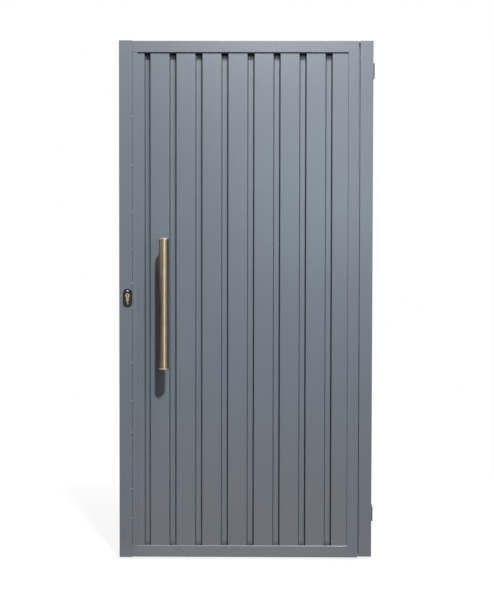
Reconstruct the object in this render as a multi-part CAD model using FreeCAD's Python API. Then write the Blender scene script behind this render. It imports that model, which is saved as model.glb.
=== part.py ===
"""Steel utility door leaf with a profiled sheet panel, pull handle, cylinder lock and two butt hinges.

Lengths are in millimetres. +X points to the hinge side, -Y to the front, +Z up. The origin is on
the outer face of the lower hinge's fixed leaf, half-way up that hinge.
"""
import FreeCAD, Part
import math
import os

from FreeCAD import Vector

# Square tubes that stand at both edges of the leaf
tube_width = 50.0
tube_depth = 50.0
tube_wall = 1.5
tube_corner = 2.0
lock_seam_gap = 0.4
hinge_tube_shortfall = 3.5
cap_thickness = 1.5
cap_edge_radius = 0.6
cap_insert_depth = 15.0
cap_insert_clearance = 0.3

# Panel frame, flush with the front of the tubes
frame_height = 1993.0
frame_depth = 40.0
rail_height = 44.5
lock_stile_width = 20.4
hinge_stile_width = 40.0
panel_opening_width = 810.8
spacer_width = 5.0
spacer_recess = 10.0
spacer_depth = 28.0
spacer_tab_recess = 0.6
spacer_top_tab = 8.0
spacer_bottom_tab = 12.0

# Profiled sheet panel
sheet_thickness = 1.0
sheet_recess = 4.0
sheet_side_clearance = 0.2
sheet_top_gap = 3.0
sheet_bottom_gap = 0.5
sheet_bend_radius = 1.0
sheet_side_fold = 12.0
side_fold_radius = 0.2
channel_end_trim = 6.5
channel_depth = 15.0
channel_mouth = 28.0
channel_floor = 18.0
channel_pitch = 100.0
first_channel_offset = 36.0
first_channel_lap = 4.0
last_crest_least = 20.0
stop_height = 25.0
stop_thickness = 4.0
stop_end_clearance = 0.5

# Pull handle
handle_length = 500.0
handle_radius = 19.0
handle_wall = 2.0
handle_standoff = 57.0
handle_height = 985.3
handle_offset = 20.1
handle_post_inset = 75.0
handle_post_radius = 10.0
handle_post_gap = 0.05
handle_cap_thickness = 4.0
handle_cap_chamfer = 1.2
handle_cap_insert = 14.0
handle_cap_clearance = 0.2
stud_radius = 5.0
stud_hole_clearance = 0.3
stud_end = 3.0
washer_radius = 12.0
washer_thickness = 3.0
nut_across_flats = 17.0
nut_thickness = 8.0
nut_clearance = 0.1

# Cylinder lock
lock_height = 1008.2
lock_backset = 32.8
escutcheon_width = 34.5
escutcheon_height = 66.0
escutcheon_corner = 14.5
escutcheon_thickness = 5.0
escutcheon_edge = 2.0
plug_rise = 7.0
cylinder_barrel_radius = 8.5
cylinder_stem_width = 10.0
cylinder_height = 33.0
cylinder_stand_out = 2.0
cylinder_clearance = 0.5
plug_radius = 6.5
plug_clearance = 0.1
plug_length = 26.0
keyway_width = 3.2
keyway_height = 9.0
keyway_depth = 14.0
faceplate_width = 22.0
faceplate_length = 235.0
faceplate_thickness = 3.0
faceplate_corner = 3.0
faceplate_clearance = 0.3
case_width = 16.0
case_height = 170.0
case_back_gap = 2.0
bolt_thickness = 8.0
bolt_height = 30.0
bolt_length = 22.0
bolt_rise = 40.0
bolt_clearance = 0.3

# Butt hinges
lower_hinge_height = 167.1
upper_hinge_drop = 110.8
hinge_height = 56.0
hinge_leaf_depth = 37.0
hinge_leaf_thickness = 2.5
hinge_leaf_gap = 1.0
hinge_leaf_corner = 1.5
hinge_axis_behind = 6.0
knuckle_radius = 5.0
knuckle_length = 18.0
knuckle_gap = 0.25
knuckle_notch = 0.5
pin_radius = 2.5
pin_clearance = 0.05
pin_head_radius = 4.0
pin_head_height = 1.8
screw_hole_radius = 2.25
screw_head_radius = 4.2
screw_hole_land = 0.6
screw_hole_spacing = 34.0
screw_hole_setback = 20.0

RIGHT = Vector(1, 0, 0)
BACK = Vector(0, 1, 0)
UP = Vector(0, 0, 1)

# Places across the leaf, from the hinge side to the lock side
hinge_tube_right = -(2 * hinge_leaf_thickness + hinge_leaf_gap)
hinge_tube_left = hinge_tube_right - tube_width
hinge_stile_right = hinge_tube_left - spacer_width
hinge_stile_left = hinge_stile_right - hinge_stile_width
lock_stile_right = hinge_stile_left - panel_opening_width
lock_stile_left = lock_stile_right - lock_stile_width
lock_tube_right = lock_stile_left - lock_seam_gap
lock_tube_left = lock_tube_right - tube_width

# Places through the leaf, from the front to the back
leaf_front = -tube_depth / 2
tube_back = leaf_front + tube_depth
frame_back = leaf_front + frame_depth
crest_front = leaf_front + sheet_recess
crest_back = crest_front + sheet_thickness
valley_back = crest_back + channel_depth
handle_axis_y = crest_front - handle_standoff
hinge_axis_x = hinge_tube_right / 2
hinge_axis_y = tube_back + hinge_axis_behind
hinge_leaf_front = tube_back - hinge_leaf_depth

# Places up the leaf
frame_bottom = -lower_hinge_height
frame_top = frame_bottom + frame_height
opening_bottom = frame_bottom + rail_height
opening_top = frame_top - rail_height
hinge_tube_bottom = frame_bottom + hinge_tube_shortfall
upper_hinge_z = frame_top - upper_hinge_drop
handle_z = frame_bottom + handle_height
lock_z = frame_bottom + lock_height
plug_z = lock_z + plug_rise
lock_x = lock_tube_left + lock_backset
handle_x = lock_stile_right + first_channel_offset + channel_pitch / 2 + handle_offset

os.makedirs("parts", exist_ok=True)


def save(name, shape):
    """Write one finished piece."""
    shape.exportStep("parts/" + name + ".step")


def block(low, high):
    """A plain block between two opposite corners."""
    size = high - low
    return Part.makeBox(size.x, size.y, size.z, low)


def rounded_bar(low, high, direction, radius):
    """A bar with its four edges along one direction rounded."""
    bar = block(low, high)
    edges = [e for e in bar.Edges if abs(e.tangentAt(e.FirstParameter).dot(direction)) > 0.99]
    return bar.makeFillet(radius, edges)


def hollow_section(low, high, direction):
    """A drawn tube of the leaf's wall thickness, open at both ends."""
    outside = rounded_bar(low, high, direction, tube_corner)
    inset = (RIGHT + BACK + UP - direction) * tube_wall
    inside = rounded_bar(low + inset, high - inset, direction, tube_corner - tube_wall)
    return outside.cut(inside)


def front_prism(points, front, back):
    """An outline drawn on the front of the leaf, carried through its depth."""
    corners = [Vector(x, front, z) for x, z in points]
    outline = Part.makePolygon(corners + corners[:1])
    return Part.Face(outline).extrude(BACK * (back - front))


# Edge tubes with their end caps


def tube_cap(left, seat, outward):
    """A push-in cap: a thin lid over the tube's end and an insert inside the tube."""
    right = left + tube_width
    lid_low = min(seat, seat + outward * cap_thickness)
    lid = rounded_bar(
        Vector(left, leaf_front, lid_low),
        Vector(right, tube_back, lid_low + cap_thickness),
        UP,
        tube_corner,
    )
    rim_z = seat + outward * cap_thickness
    rim = [e for e in lid.Edges if all(abs(v.Z - rim_z) < 0.01 for v in e.Vertexes)]
    lid = lid.makeFillet(cap_edge_radius, rim)
    inset = tube_wall + cap_insert_clearance
    insert_low = min(seat, seat - outward * cap_insert_depth)
    insert = block(
        Vector(left + inset, leaf_front + inset, insert_low),
        Vector(right - inset, tube_back - inset, insert_low + cap_insert_depth),
    )
    return lid.fuse(insert).removeSplitter()


def profile_cylinder(front, back, growth):
    """The round-topped keyhole outline of the lock cylinder, carried from front to back."""
    length = back - front
    foot_radius = cylinder_stem_width / 2
    foot_z = plug_z + cylinder_barrel_radius - cylinder_height + foot_radius
    barrel = Part.makeCylinder(
        cylinder_barrel_radius + growth, length, Vector(lock_x, front, plug_z), BACK
    )
    foot = Part.makeCylinder(foot_radius + growth, length, Vector(lock_x, front, foot_z), BACK)
    stem = block(
        Vector(lock_x - foot_radius - growth, front, foot_z),
        Vector(lock_x + foot_radius + growth, back, plug_z),
    )
    return barrel.multiFuse([foot, stem]).removeSplitter()


def faceplate_body(growth):
    """The lock's edge plate, flush with the outer side of the lock tube."""
    half_width = faceplate_width / 2 + growth
    half_length = faceplate_length / 2 + growth
    return rounded_bar(
        Vector(lock_tube_left, -half_width, lock_z - half_length),
        Vector(lock_tube_left + faceplate_thickness, half_width, lock_z + half_length),
        RIGHT,
        faceplate_corner + growth,
    )


lock_tube = hollow_section(
    Vector(lock_tube_left, leaf_front, frame_bottom),
    Vector(lock_tube_right, tube_back, frame_top),
    UP,
)
lock_tube = lock_tube.cut(profile_cylinder(leaf_front, tube_back, cylinder_clearance))
lock_tube = lock_tube.cut(faceplate_body(faceplate_clearance))
save("lock_tube", lock_tube)
save("lock_tube_top_cap", tube_cap(lock_tube_left, frame_top, 1))
save("lock_tube_bottom_cap", tube_cap(lock_tube_left, frame_bottom, -1))

hinge_tube_low = hinge_tube_bottom + cap_thickness
hinge_tube_high = frame_top - cap_thickness
hinge_tube = hollow_section(
    Vector(hinge_tube_left, leaf_front, hinge_tube_low),
    Vector(hinge_tube_right, tube_back, hinge_tube_high),
    UP,
)
save("hinge_tube", hinge_tube)
save("hinge_tube_top_cap", tube_cap(hinge_tube_left, hinge_tube_high, 1))
save("hinge_tube_bottom_cap", tube_cap(hinge_tube_left, hinge_tube_low, -1))

# Panel frame: rails mitred to the hinge-side stile, butted on the lock tube


def mitre_wedges(inner_z, outer_z):
    """The two wedges that part a rail from the hinge-side stile at one corner."""
    reach = hinge_stile_width
    rise = outer_z - inner_z
    near = (hinge_stile_left - reach, inner_z - rise)
    far = (hinge_stile_right + reach, outer_z + rise)
    stile_side = front_prism([near, far, (far[0], near[1])], leaf_front, frame_back)
    rail_side = front_prism([near, far, (near[0], far[1])], leaf_front, frame_back)
    return stile_side, rail_side


def frame_rail(low_z, high_z, wedge):
    """A rail from the lock tube to the mitre at the hinge side."""
    rail = hollow_section(
        Vector(lock_tube_right, leaf_front, low_z),
        Vector(hinge_stile_right, frame_back, high_z),
        RIGHT,
    )
    return rail.cut(wedge)


top_stile_side, top_rail_side = mitre_wedges(opening_top, frame_top)
bottom_stile_side, bottom_rail_side = mitre_wedges(opening_bottom, frame_bottom)
save("top_rail", frame_rail(opening_top, frame_top, top_stile_side))
save("bottom_rail", frame_rail(frame_bottom, opening_bottom, bottom_stile_side))

hinge_side_stile = hollow_section(
    Vector(hinge_stile_left, leaf_front, frame_bottom),
    Vector(hinge_stile_right, frame_back, frame_top),
    UP,
)
save("hinge_side_stile", hinge_side_stile.cut(top_rail_side).cut(bottom_rail_side))

lock_side_stile = hollow_section(
    Vector(lock_stile_left, leaf_front, opening_bottom),
    Vector(lock_stile_right, frame_back, opening_top),
    UP,
)
save("lock_side_stile", lock_side_stile)

# Spacer strip in the groove between the hinge-side stile and the hinge tube


def spacer_piece(recess, low_z, high_z):
    """A length of the strip with its front set back by the given recess."""
    return block(
        Vector(hinge_stile_right, leaf_front + recess, low_z),
        Vector(hinge_tube_left, leaf_front + spacer_recess + spacer_depth, high_z),
    )


spacer_strip = spacer_piece(spacer_recess, hinge_tube_bottom, frame_top)
top_tab = spacer_piece(spacer_tab_recess, frame_top - spacer_top_tab, frame_top)
bottom_tab = spacer_piece(
    spacer_tab_recess, hinge_tube_bottom, hinge_tube_bottom + spacer_bottom_tab
)
save("hinge_side_spacer_strip", spacer_strip.multiFuse([top_tab, bottom_tab]).removeSplitter())

# Profiled sheet: one plate bent into wide crests and narrow channels, its sides folded back


def left_normal(start, end):
    """The level direction to the left of a walk from start to end."""
    along = end - start
    return Vector(-along.y, along.x, 0).normalize()


def offset_path(points, distance):
    """The same path moved to its left by a distance."""
    moved = []
    for index, point in enumerate(points):
        before = points[max(index - 1, 0)]
        after = points[min(index + 1, len(points) - 1)]
        first = left_normal(before, point) if index > 0 else left_normal(point, after)
        second = left_normal(point, after) if point is not points[-1] else first
        both = first + second
        moved.append(point + both * (2 * distance / both.dot(both)))
    return moved


def turns_left(before, point, after):
    """Whether a walk through three points bends to the left."""
    return (point - before).cross(after - point).z > 0


def rounded_path(points, radii):
    """Straight lines along a path with a tangent arc at each inner point."""
    edges = []
    start = points[0]
    for before, point, after, radius in zip(points, points[1:], points[2:], radii):
        back = (before - point).normalize()
        ahead = (after - point).normalize()
        half_angle = back.getAngle(ahead) / 2
        middle = (back + ahead).normalize()
        arc_start = point + back * (radius / math.tan(half_angle))
        arc_end = point + ahead * (radius / math.tan(half_angle))
        arc_middle = point + middle * (radius / math.sin(half_angle) - radius)
        edges.append(Part.makeLine(start, arc_start))
        edges.append(Part.Arc(arc_start, arc_middle, arc_end).toShape())
        start = arc_end
    edges.append(Part.makeLine(start, points[-1]))
    return edges


def bent_sheet(points, inner_radii, low_z, high_z):
    """A plate bent along a path, its thickness to the left of the path."""
    rear_points = offset_path(points, sheet_thickness)
    front_radii = []
    rear_radii = []
    for before, point, after, inner in zip(points, points[1:], points[2:], inner_radii):
        outer = inner + sheet_thickness
        outside_bend = turns_left(before, point, after)
        front_radii.append(outer if outside_bend else inner)
        rear_radii.append(inner if outside_bend else outer)
    edges = rounded_path(points, front_radii) + rounded_path(rear_points, rear_radii)
    edges.append(Part.makeLine(points[0], rear_points[0]))
    edges.append(Part.makeLine(points[-1], rear_points[-1]))
    outline = Part.Wire(Part.sortEdges(edges)[0])
    return Part.Face(outline).extrude(UP * (high_z - low_z))


sheet_left = lock_stile_right + sheet_side_clearance
sheet_right = hinge_stile_left - sheet_side_clearance
sheet_bottom = opening_bottom + sheet_bottom_gap
sheet_top = opening_top - sheet_top_gap
valley_front = crest_front + channel_depth
flank_run = (channel_mouth - channel_floor) / 2
channel_room = panel_opening_width - first_channel_offset - channel_mouth / 2 - last_crest_least
channel_count = int(channel_room // channel_pitch) + 1

path = [(sheet_left, crest_front + sheet_side_fold), (sheet_left, crest_front)]
bend_radii = [side_fold_radius]
for index in range(channel_count):
    centre = lock_stile_right + first_channel_offset + index * channel_pitch
    near_edge = centre - channel_mouth / 2 + (first_channel_lap if index == 0 else 0)
    far_edge = centre + channel_mouth / 2
    path.append((near_edge, crest_front))
    path.append((near_edge + flank_run, valley_front))
    path.append((far_edge - flank_run, valley_front))
    path.append((far_edge, crest_front))
    bend_radii.extend([sheet_bend_radius] * 4)
path.append((sheet_right, crest_front))
path.append((sheet_right, crest_front + sheet_side_fold))
bend_radii.append(side_fold_radius)

sheet_outline = [Vector(x, y, sheet_bottom) for x, y in path]
profiled_sheet = bent_sheet(sheet_outline, bend_radii, sheet_bottom, sheet_top)
channel_trim = block(
    Vector(sheet_left, crest_back, sheet_top - channel_end_trim),
    Vector(sheet_right, valley_back, sheet_top),
)
profiled_sheet = profiled_sheet.cut(channel_trim)
post_heights = {
    "upper": handle_z + handle_length / 2 - handle_post_inset,
    "lower": handle_z - handle_length / 2 + handle_post_inset,
}
for post_z in post_heights.values():
    stud_hole = Part.makeCylinder(
        stud_radius + stud_hole_clearance,
        sheet_thickness,
        Vector(handle_x, crest_front, post_z),
        BACK,
    )
    profiled_sheet = profiled_sheet.cut(stud_hole)
save("profiled_sheet", profiled_sheet)


def sheet_stop(low_z):
    """A flat bar across the opening that the channel floors rest on."""
    return block(
        Vector(lock_stile_right + stop_end_clearance, valley_back, low_z),
        Vector(hinge_stile_left - stop_end_clearance, valley_back + stop_thickness, low_z + stop_height),
    )


save("top_sheet_stop", sheet_stop(opening_top - stop_height))
save("bottom_sheet_stop", sheet_stop(opening_bottom))

# Pull handle: a tube with closed ends on two posts, held by nuts behind the sheet

bar_low = handle_z - handle_length / 2 + handle_cap_thickness
bar_high = handle_z + handle_length / 2 - handle_cap_thickness
bar_foot = Vector(handle_x, handle_axis_y, bar_low)
bar_outside = Part.makeCylinder(handle_radius, bar_high - bar_low, bar_foot, UP)
bar_inside = Part.makeCylinder(handle_radius - handle_wall, bar_high - bar_low, bar_foot, UP)
save("handle_bar", bar_outside.cut(bar_inside))


def handle_cap(seat, outward):
    """A closed end with a bevelled rim and an insert inside the bar."""
    foot = Vector(handle_x, handle_axis_y, seat)
    lid = Part.makeCylinder(
        handle_radius, handle_cap_thickness - handle_cap_chamfer, foot, UP * outward
    )
    bevel = Part.makeCone(
        handle_radius,
        handle_radius - handle_cap_chamfer,
        handle_cap_chamfer,
        foot + UP * outward * (handle_cap_thickness - handle_cap_chamfer),
        UP * outward,
    )
    insert = Part.makeCylinder(
        handle_radius - handle_wall - handle_cap_clearance, handle_cap_insert, foot, UP * -outward
    )
    return lid.multiFuse([bevel, insert]).removeSplitter()


save("handle_bar_top_cap", handle_cap(bar_high, 1))
save("handle_bar_bottom_cap", handle_cap(bar_low, -1))


def handle_post(post_z):
    """A round post shaped to the back of the bar, with a stud through the sheet."""
    post = Part.makeCylinder(
        handle_post_radius, handle_standoff, Vector(handle_x, handle_axis_y, post_z), BACK
    )
    seat = Part.makeCylinder(
        handle_radius + handle_post_gap,
        4 * handle_post_radius,
        Vector(handle_x, handle_axis_y, post_z - 2 * handle_post_radius),
        UP,
    )
    stud = Part.makeCylinder(
        stud_radius,
        sheet_thickness + washer_thickness + nut_thickness + stud_end,
        Vector(handle_x, crest_front, post_z),
        BACK,
    )
    return post.cut(seat).fuse(stud).removeSplitter()


def handle_washer(post_z):
    """A wide washer that spreads the nut's pull over the back of the sheet."""
    place = Vector(handle_x, crest_back, post_z)
    disc = Part.makeCylinder(washer_radius, washer_thickness, place, BACK)
    return disc.cut(
        Part.makeCylinder(stud_radius + stud_hole_clearance, washer_thickness, place, BACK)
    )


def handle_nut(post_z):
    """A six-sided nut on the stud."""
    front = crest_back + washer_thickness
    across_corners = nut_across_flats / math.cos(math.pi / 6)
    corners = []
    for step in range(6):
        angle = step * math.pi / 3
        x = handle_x + across_corners / 2 * math.cos(angle)
        z = post_z + across_corners / 2 * math.sin(angle)
        corners.append((x, z))
    nut = front_prism(corners, front, front + nut_thickness)
    bore = Part.makeCylinder(
        stud_radius + nut_clearance, nut_thickness, Vector(handle_x, front, post_z), BACK
    )
    return nut.cut(bore)


for level, post_z in post_heights.items():
    save(level + "_handle_post", handle_post(post_z))
    save(level + "_handle_washer", handle_washer(post_z))
    save(level + "_handle_nut", handle_nut(post_z))

# Cylinder lock: edge plate, case, bolt, cylinder with its plugs and a cover plate on each side


def escutcheon(seat, outward):
    """An oval cover plate with a rounded outer edge, open for the cylinder."""
    front = min(seat, seat + outward * escutcheon_thickness)
    back = front + escutcheon_thickness
    plate = rounded_bar(
        Vector(lock_x - escutcheon_width / 2, front, lock_z - escutcheon_height / 2),
        Vector(lock_x + escutcheon_width / 2, back, lock_z + escutcheon_height / 2),
        BACK,
        escutcheon_corner,
    )
    rim_y = seat + outward * escutcheon_thickness
    rim = [e for e in plate.Edges if all(abs(v.Y - rim_y) < 0.01 for v in e.Vertexes)]
    plate = plate.makeFillet(escutcheon_edge, rim)
    return plate.cut(profile_cylinder(front, back, cylinder_clearance))


save("front_escutcheon", escutcheon(leaf_front, -1))
save("back_escutcheon", escutcheon(tube_back, 1))

cylinder_front = leaf_front - escutcheon_thickness - cylinder_stand_out
cylinder_back = tube_back + escutcheon_thickness + cylinder_stand_out
cylinder_body = profile_cylinder(cylinder_front, cylinder_back, 0)
plug_faces = {"front": (cylinder_front, BACK), "back": (cylinder_back, -BACK)}
for side, (face_y, inward) in plug_faces.items():
    mouth = Vector(lock_x, face_y, plug_z)
    plug_bore = Part.makeCylinder(plug_radius + plug_clearance, plug_length, mouth, inward)
    cylinder_body = cylinder_body.cut(plug_bore)
    plug = Part.makeCylinder(plug_radius, plug_length, mouth, inward)
    keyway_end = mouth + inward * keyway_depth
    keyway = block(
        Vector(lock_x - keyway_width / 2, min(face_y, keyway_end.y), plug_z - keyway_height / 2),
        Vector(lock_x + keyway_width / 2, max(face_y, keyway_end.y), plug_z + keyway_height / 2),
    )
    save(side + "_cylinder_plug", plug.cut(keyway))
save("cylinder_body", cylinder_body)


def lock_bolt(growth):
    """The square bolt, drawn back flush with the edge plate."""
    bolt_z = plug_z + bolt_rise
    half_thickness = bolt_thickness / 2 + growth
    half_height = bolt_height / 2 + growth
    return block(
        Vector(lock_tube_left, -half_thickness, bolt_z - half_height),
        Vector(lock_tube_left + bolt_length + growth, half_thickness, bolt_z + half_height),
    )


save("lock_bolt", lock_bolt(0))
save("lock_faceplate", faceplate_body(0).cut(lock_bolt(bolt_clearance)))
lock_case = block(
    Vector(lock_tube_left + faceplate_thickness, -case_width / 2, lock_z - case_height / 2),
    Vector(lock_tube_right - tube_wall - case_back_gap, case_width / 2, lock_z + case_height / 2),
)
lock_case = lock_case.cut(profile_cylinder(-case_width / 2, case_width / 2, cylinder_clearance))
save("lock_case", lock_case.cut(lock_bolt(bolt_clearance)))

# Butt hinges: a fixed leaf, a moving leaf on the hinge tube and a pin with two heads


def knuckle(low_z, high_z):
    """A rolled eye around the hinge pin."""
    place = Vector(hinge_axis_x, hinge_axis_y, low_z)
    return Part.makeCylinder(knuckle_radius, high_z - low_z, place, UP)


def hinge_plate(left, centre_z):
    """A flat hinge leaf with rounded front corners, running back to the pin."""
    plate = block(
        Vector(left, hinge_leaf_front, centre_z - hinge_height / 2),
        Vector(left + hinge_leaf_thickness, hinge_axis_y, centre_z + hinge_height / 2),
    )
    front_edges = [
        e
        for e in plate.Edges
        if all(abs(v.Y - hinge_leaf_front) < 0.01 for v in e.Vertexes)
        and abs(e.tangentAt(e.FirstParameter).x) > 0.99
    ]
    return plate.makeFillet(hinge_leaf_corner, front_edges)


def knuckle_clearance(low_z, high_z):
    """The room that one leaf leaves for the other leaf's eye."""
    front = hinge_axis_y - knuckle_radius - knuckle_gap - knuckle_notch
    return block(
        Vector(hinge_axis_x - 2 * knuckle_radius, front, low_z - knuckle_gap),
        Vector(hinge_axis_x + 2 * knuckle_radius, hinge_axis_y + 2 * knuckle_radius, high_z + knuckle_gap),
    )


def screw_hole(hole_z):
    """A countersunk hole through the fixed leaf, its head sunk on the door's side."""
    y = tube_back - screw_hole_setback
    outer = Vector(0, y, hole_z)
    land = Vector(-screw_hole_land, y, hole_z)
    hole = Part.makeCylinder(screw_hole_radius, screw_hole_land, outer, -RIGHT)
    sink = Part.makeCone(
        screw_hole_radius,
        screw_head_radius,
        hinge_leaf_thickness - screw_hole_land,
        land,
        -RIGHT,
    )
    return hole.fuse(sink)


for level, hinge_z in {"lower": 0.0, "upper": upper_hinge_z}.items():
    hinge_low = hinge_z - hinge_height / 2
    hinge_high = hinge_z + hinge_height / 2
    eye_low = hinge_z - knuckle_length / 2
    eye_high = hinge_z + knuckle_length / 2
    pin_bore = Part.makeCylinder(
        pin_radius, hinge_height, Vector(hinge_axis_x, hinge_axis_y, hinge_low), UP
    )

    moving_leaf = hinge_plate(hinge_tube_right, hinge_z)
    below_eye = knuckle_clearance(hinge_low, eye_low - knuckle_gap)
    above_eye = knuckle_clearance(eye_high + knuckle_gap, hinge_high)
    moving_leaf = moving_leaf.cut(below_eye).cut(above_eye)
    moving_leaf = moving_leaf.fuse(knuckle(eye_low, eye_high)).cut(pin_bore).removeSplitter()
    save(level + "_hinge_moving_leaf", moving_leaf)

    fixed_leaf = hinge_plate(-hinge_leaf_thickness, hinge_z)
    fixed_leaf = fixed_leaf.cut(knuckle_clearance(eye_low, eye_high))
    lower_eye = knuckle(hinge_low, eye_low - knuckle_gap)
    upper_eye = knuckle(eye_high + knuckle_gap, hinge_high)
    fixed_leaf = fixed_leaf.multiFuse([lower_eye, upper_eye]).cut(pin_bore).removeSplitter()
    for side in (-1, 1):
        fixed_leaf = fixed_leaf.cut(screw_hole(hinge_z + side * screw_hole_spacing / 2))
    save(level + "_hinge_fixed_leaf", fixed_leaf)

    pin_foot = Vector(hinge_axis_x, hinge_axis_y, hinge_low)
    pin_top = Vector(hinge_axis_x, hinge_axis_y, hinge_high)
    shank = Part.makeCylinder(pin_radius - pin_clearance, hinge_height, pin_foot, UP)
    lower_head = Part.makeCylinder(pin_head_radius, pin_head_height, pin_foot, -UP)
    upper_head = Part.makeCylinder(pin_head_radius, pin_head_height, pin_top, UP)
    save(level + "_hinge_pin", shank.multiFuse([lower_head, upper_head]).removeSplitter())
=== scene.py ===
import math

import bpy
from mathutils import Matrix, Vector


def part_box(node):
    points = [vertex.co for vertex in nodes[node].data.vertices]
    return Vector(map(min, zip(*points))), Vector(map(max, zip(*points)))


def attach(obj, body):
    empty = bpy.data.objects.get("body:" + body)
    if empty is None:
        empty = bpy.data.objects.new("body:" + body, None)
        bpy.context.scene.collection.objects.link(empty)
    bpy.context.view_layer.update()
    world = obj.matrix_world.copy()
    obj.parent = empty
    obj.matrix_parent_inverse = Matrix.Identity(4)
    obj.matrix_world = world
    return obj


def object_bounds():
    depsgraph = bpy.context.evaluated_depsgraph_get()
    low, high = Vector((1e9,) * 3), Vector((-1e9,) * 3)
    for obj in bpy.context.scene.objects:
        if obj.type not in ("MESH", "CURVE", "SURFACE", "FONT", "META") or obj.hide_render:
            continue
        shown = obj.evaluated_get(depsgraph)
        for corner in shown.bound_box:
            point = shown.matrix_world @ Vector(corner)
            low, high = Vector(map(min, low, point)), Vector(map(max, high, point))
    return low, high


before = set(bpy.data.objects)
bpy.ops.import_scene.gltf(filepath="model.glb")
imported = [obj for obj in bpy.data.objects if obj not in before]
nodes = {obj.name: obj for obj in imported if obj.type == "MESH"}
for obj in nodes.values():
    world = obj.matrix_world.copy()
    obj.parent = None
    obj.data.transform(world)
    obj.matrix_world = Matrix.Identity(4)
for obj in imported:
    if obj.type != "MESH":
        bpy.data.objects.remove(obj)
cad_low, cad_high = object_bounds()

# Edge tubes, top rail and stiles: mild steel sections, welded together, ground and sprayed as one
# leaf with a blue-grey powder coat that is baked on. The coat has a fine orange-peel skin, a faint
# change of shade, thin spots along its edges and dust towards its foot, splashed up the lock tube.

leaf_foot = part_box("bottom_rail")[0].z


def new_group(name, inputs, outputs):
    """An empty shader group with the named sockets and their first values."""
    group = bpy.data.node_groups.new(name, "ShaderNodeTree")
    for socket, kind, value in inputs:
        made = group.interface.new_socket(socket, in_out="INPUT", socket_type=kind)
        made.default_value = value
    for socket, kind in outputs:
        group.interface.new_socket(socket, in_out="OUTPUT", socket_type=kind)
    return group, group.nodes.new("NodeGroupInput"), group.nodes.new("NodeGroupOutput")


def feed(tree, socket, value):
    """Put a number or a colour on a socket, or link another socket to it."""
    if isinstance(value, bpy.types.NodeSocket):
        tree.links.new(value, socket)
    else:
        socket.default_value = value


def add_noise(tree, coordinates, scale, detail):
    """A noise texture on the given coordinates."""
    noise = tree.nodes.new("ShaderNodeTexNoise")
    feed(tree, noise.inputs["Vector"], coordinates)
    feed(tree, noise.inputs["Scale"], scale)
    feed(tree, noise.inputs["Detail"], detail)
    return noise.outputs["Fac"]


def add_range(tree, value, over, gives):
    """A clamped change from one range of values to another."""
    ranged = tree.nodes.new("ShaderNodeMapRange")
    feed(tree, ranged.inputs["Value"], value)
    feed(tree, ranged.inputs["From Min"], over[0])
    feed(tree, ranged.inputs["From Max"], over[1])
    feed(tree, ranged.inputs["To Min"], gives[0])
    feed(tree, ranged.inputs["To Max"], gives[1])
    return ranged.outputs[0]


def add_math(tree, operation, first, second, clamp=False):
    """Two values put together, each a socket or a number."""
    node = tree.nodes.new("ShaderNodeMath")
    node.operation = operation
    node.use_clamp = clamp
    feed(tree, node.inputs[0], first)
    feed(tree, node.inputs[1], second)
    return node.outputs[0]


def add_mix(tree, factor, first, second):
    """A mix of two colours, each a socket or a plain colour."""
    mix = tree.nodes.new("ShaderNodeMix")
    mix.data_type = "RGBA"
    feed(tree, mix.inputs["Factor"], factor)
    feed(tree, mix.inputs[6], first)
    feed(tree, mix.inputs[7], second)
    return mix.outputs[2]


def add_split(tree, vector):
    """The three parts of a place or a direction."""
    split = tree.nodes.new("ShaderNodeSeparateXYZ")
    tree.links.new(vector, split.inputs[0])
    return split


def make_powder_coat():
    """Shade change, skin and gloss of a sprayed and baked coat."""
    group, given, result = new_group(
        "powder coat",
        [
            ("Colour", "NodeSocketColor", (0.2, 0.22, 0.25, 1)),
            ("Shade Change", "NodeSocketFloat", 0.05),
            ("Gloss", "NodeSocketFloat", 0.4),
        ],
        [("Colour", "NodeSocketColor"), ("Roughness", "NodeSocketFloat"), ("Height", "NodeSocketFloat")],
    )
    place = group.nodes.new("ShaderNodeTexCoord").outputs["Object"]
    clouds = add_noise(group, place, scale=3.1, detail=3.0)
    speckle = add_noise(group, place, scale=260.0, detail=2.0)
    skin = add_noise(group, place, scale=620.0, detail=2.0)
    patches = add_noise(group, place, scale=17.0, detail=4.0)
    noise_middle = 0.5
    speckle_share = 0.5
    noise_gain = 4.0
    spread = add_math(group, "SUBTRACT", clouds, noise_middle)
    fine = add_math(group, "SUBTRACT", speckle, noise_middle)
    faint = add_math(group, "MULTIPLY", fine, speckle_share)
    both = add_math(group, "ADD", spread, faint)
    change = add_math(group, "MULTIPLY", both, given.outputs["Shade Change"])
    wide = add_math(group, "MULTIPLY", change, noise_gain)
    value = add_math(group, "ADD", wide, 1.0)
    tint = group.nodes.new("ShaderNodeHueSaturation")
    group.links.new(given.outputs["Colour"], tint.inputs["Color"])
    group.links.new(value, tint.inputs["Value"])
    dull = add_range(group, patches, over=(0.3, 0.7), gives=(-0.05, 0.06))
    gloss = add_math(group, "ADD", given.outputs["Gloss"], dull)
    group.links.new(tint.outputs[0], result.inputs["Colour"])
    group.links.new(gloss, result.inputs["Roughness"])
    group.links.new(skin, result.inputs["Height"])
    return group


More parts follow.
